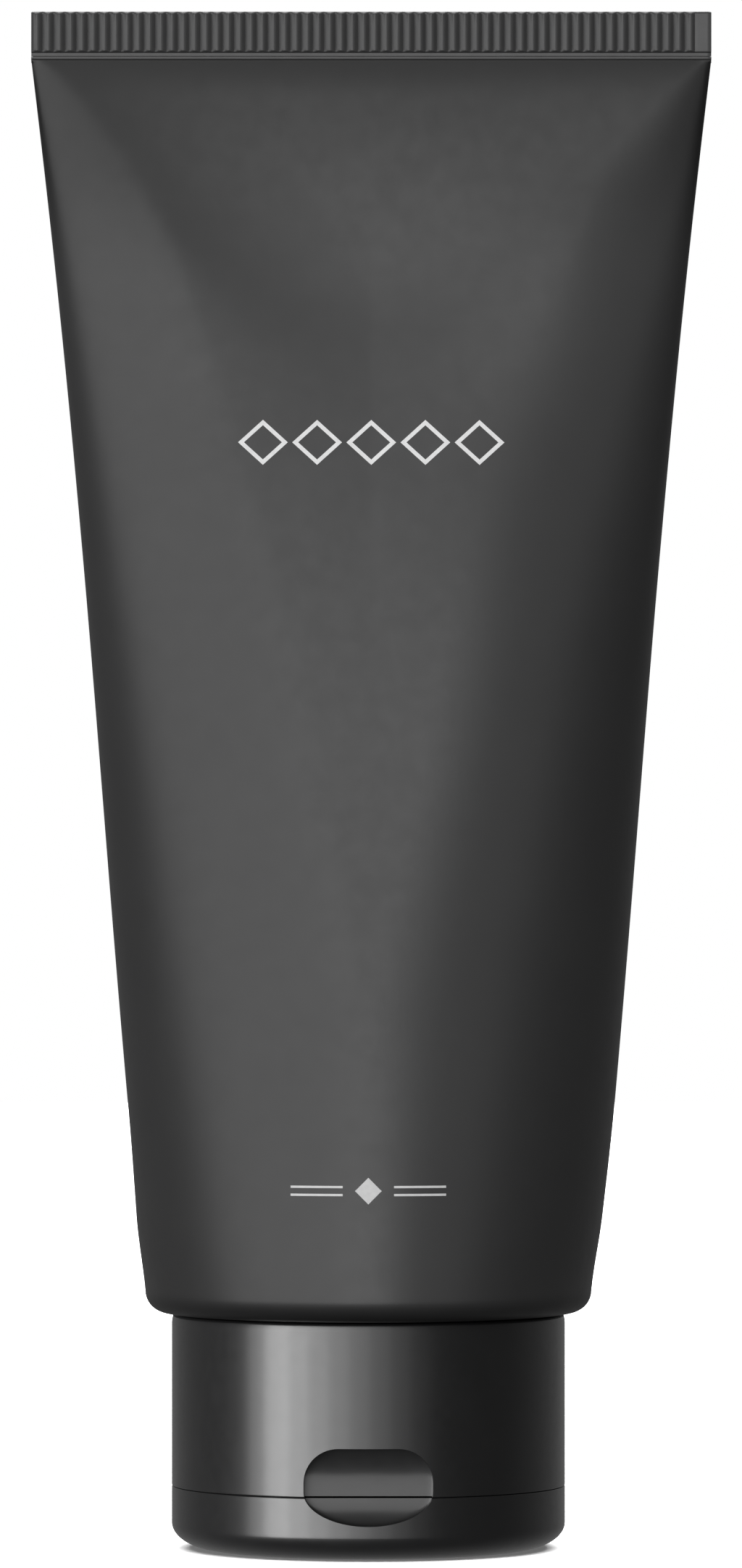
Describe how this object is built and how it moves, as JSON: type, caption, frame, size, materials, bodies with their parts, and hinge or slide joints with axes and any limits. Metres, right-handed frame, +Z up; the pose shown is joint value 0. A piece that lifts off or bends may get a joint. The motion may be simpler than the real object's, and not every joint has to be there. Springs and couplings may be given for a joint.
{
  "type": "shaving cream tube",
  "caption": "Dark grey stand-up squeeze tube for shaving cream, with a ribbed crimped end and a black screw-on flip-top cap that it stands on.",
  "frame": {"origin": "centre of the lid's flat standing face, on the surface that the tube stands on", "axes": "+Z up the tube to its crimped end; -Y the front, with the print and the thumb scoop; X along the crimp"},
  "size_m": [0.0786, 0.0516, 0.1772],
  "materials": {
    "cap_plastic": "gloss",
    "sleeve_film": "satin",
    "head_plastic": "satin",
    "washer_foam": "matte",
    "seal_foil": "satin",
    "cream": "satin"
  },
  "bodies": {
    "cap": {"cap_base": "cap_plastic", "cap_thread": "cap_plastic", "hinge_films": "cap_plastic", "spring_strap": "cap_plastic"},
    "lid": {"flip_lid": "cap_plastic", "lid_plug": "cap_plastic"},
    "washer": {"seal_washer": "washer_foam"},
    "tube": {"tube_head": "head_plastic", "neck_thread": "head_plastic", "peel_seal": "seal_foil", "tube_sleeve": "sleeve_film", "end_seam": "sleeve_film", "cream_fill": "cream"}
  },
  "joints": [
    {"name": "lid_hinge", "type": "hinge", "parent": "cap", "child": "lid", "pos_m": [0, 0.023, 0.00725], "axis": [1, 0, 0], "range_deg": [0, 180], "deforming": ["hinge_films", "spring_strap"]},
    {"name": "tube_twist", "type": "hinge", "parent": "cap", "child": "washer", "pos_m": [0, 0, 0], "axis": [0, 0, 1], "range_deg": [0, 1440]},
    {"name": "tube_lift", "type": "slide", "parent": "washer", "child": "tube", "axis": [0, 0, 1], "range_m": [0, 0.018]}
  ],
  "couplings": [
    {"joint": "tube_lift", "follows": "tube_twist", "m_per_rad": 0.0007162}
  ]
}
